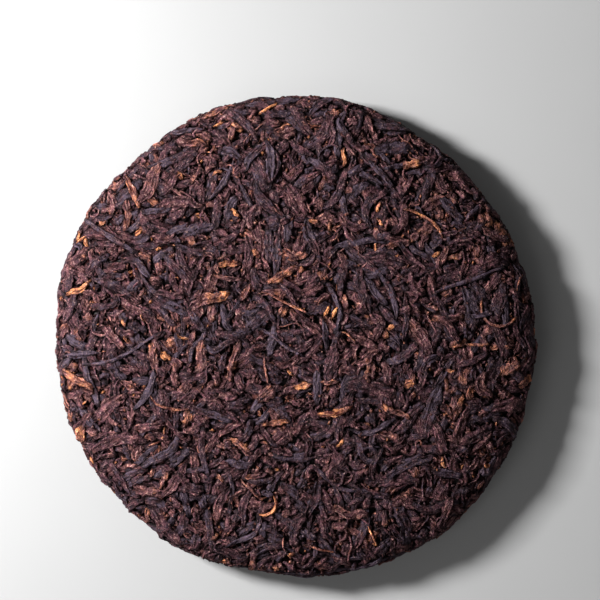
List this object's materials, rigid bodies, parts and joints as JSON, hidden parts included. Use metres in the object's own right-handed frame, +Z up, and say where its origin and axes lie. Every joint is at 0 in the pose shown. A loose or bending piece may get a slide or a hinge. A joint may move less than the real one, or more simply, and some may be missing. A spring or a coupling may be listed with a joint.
{
  "type": "pu erh tea cake",
  "caption": "Round pressed cake of dark fermented tea leaf with a low domed face, a blunt rim and a cloth-knot hollow in its flat back.",
  "frame": {"origin": "centre of the outline, at the height of the flat ring that it rests on", "axes": "+Z up, out of the domed face; +Y to what was the top of the cake when it stood on its edge"},
  "size_m": [0.2002, 0.2004, 0.0252],
  "materials": {
    "pressed_leaf": "dry pressed leaf, dark brown to blue-black with a soft satin sheen"
  },
  "bodies": {
    "root": {"tea_cake": "pressed_leaf"}
  },
  "joints": []
}
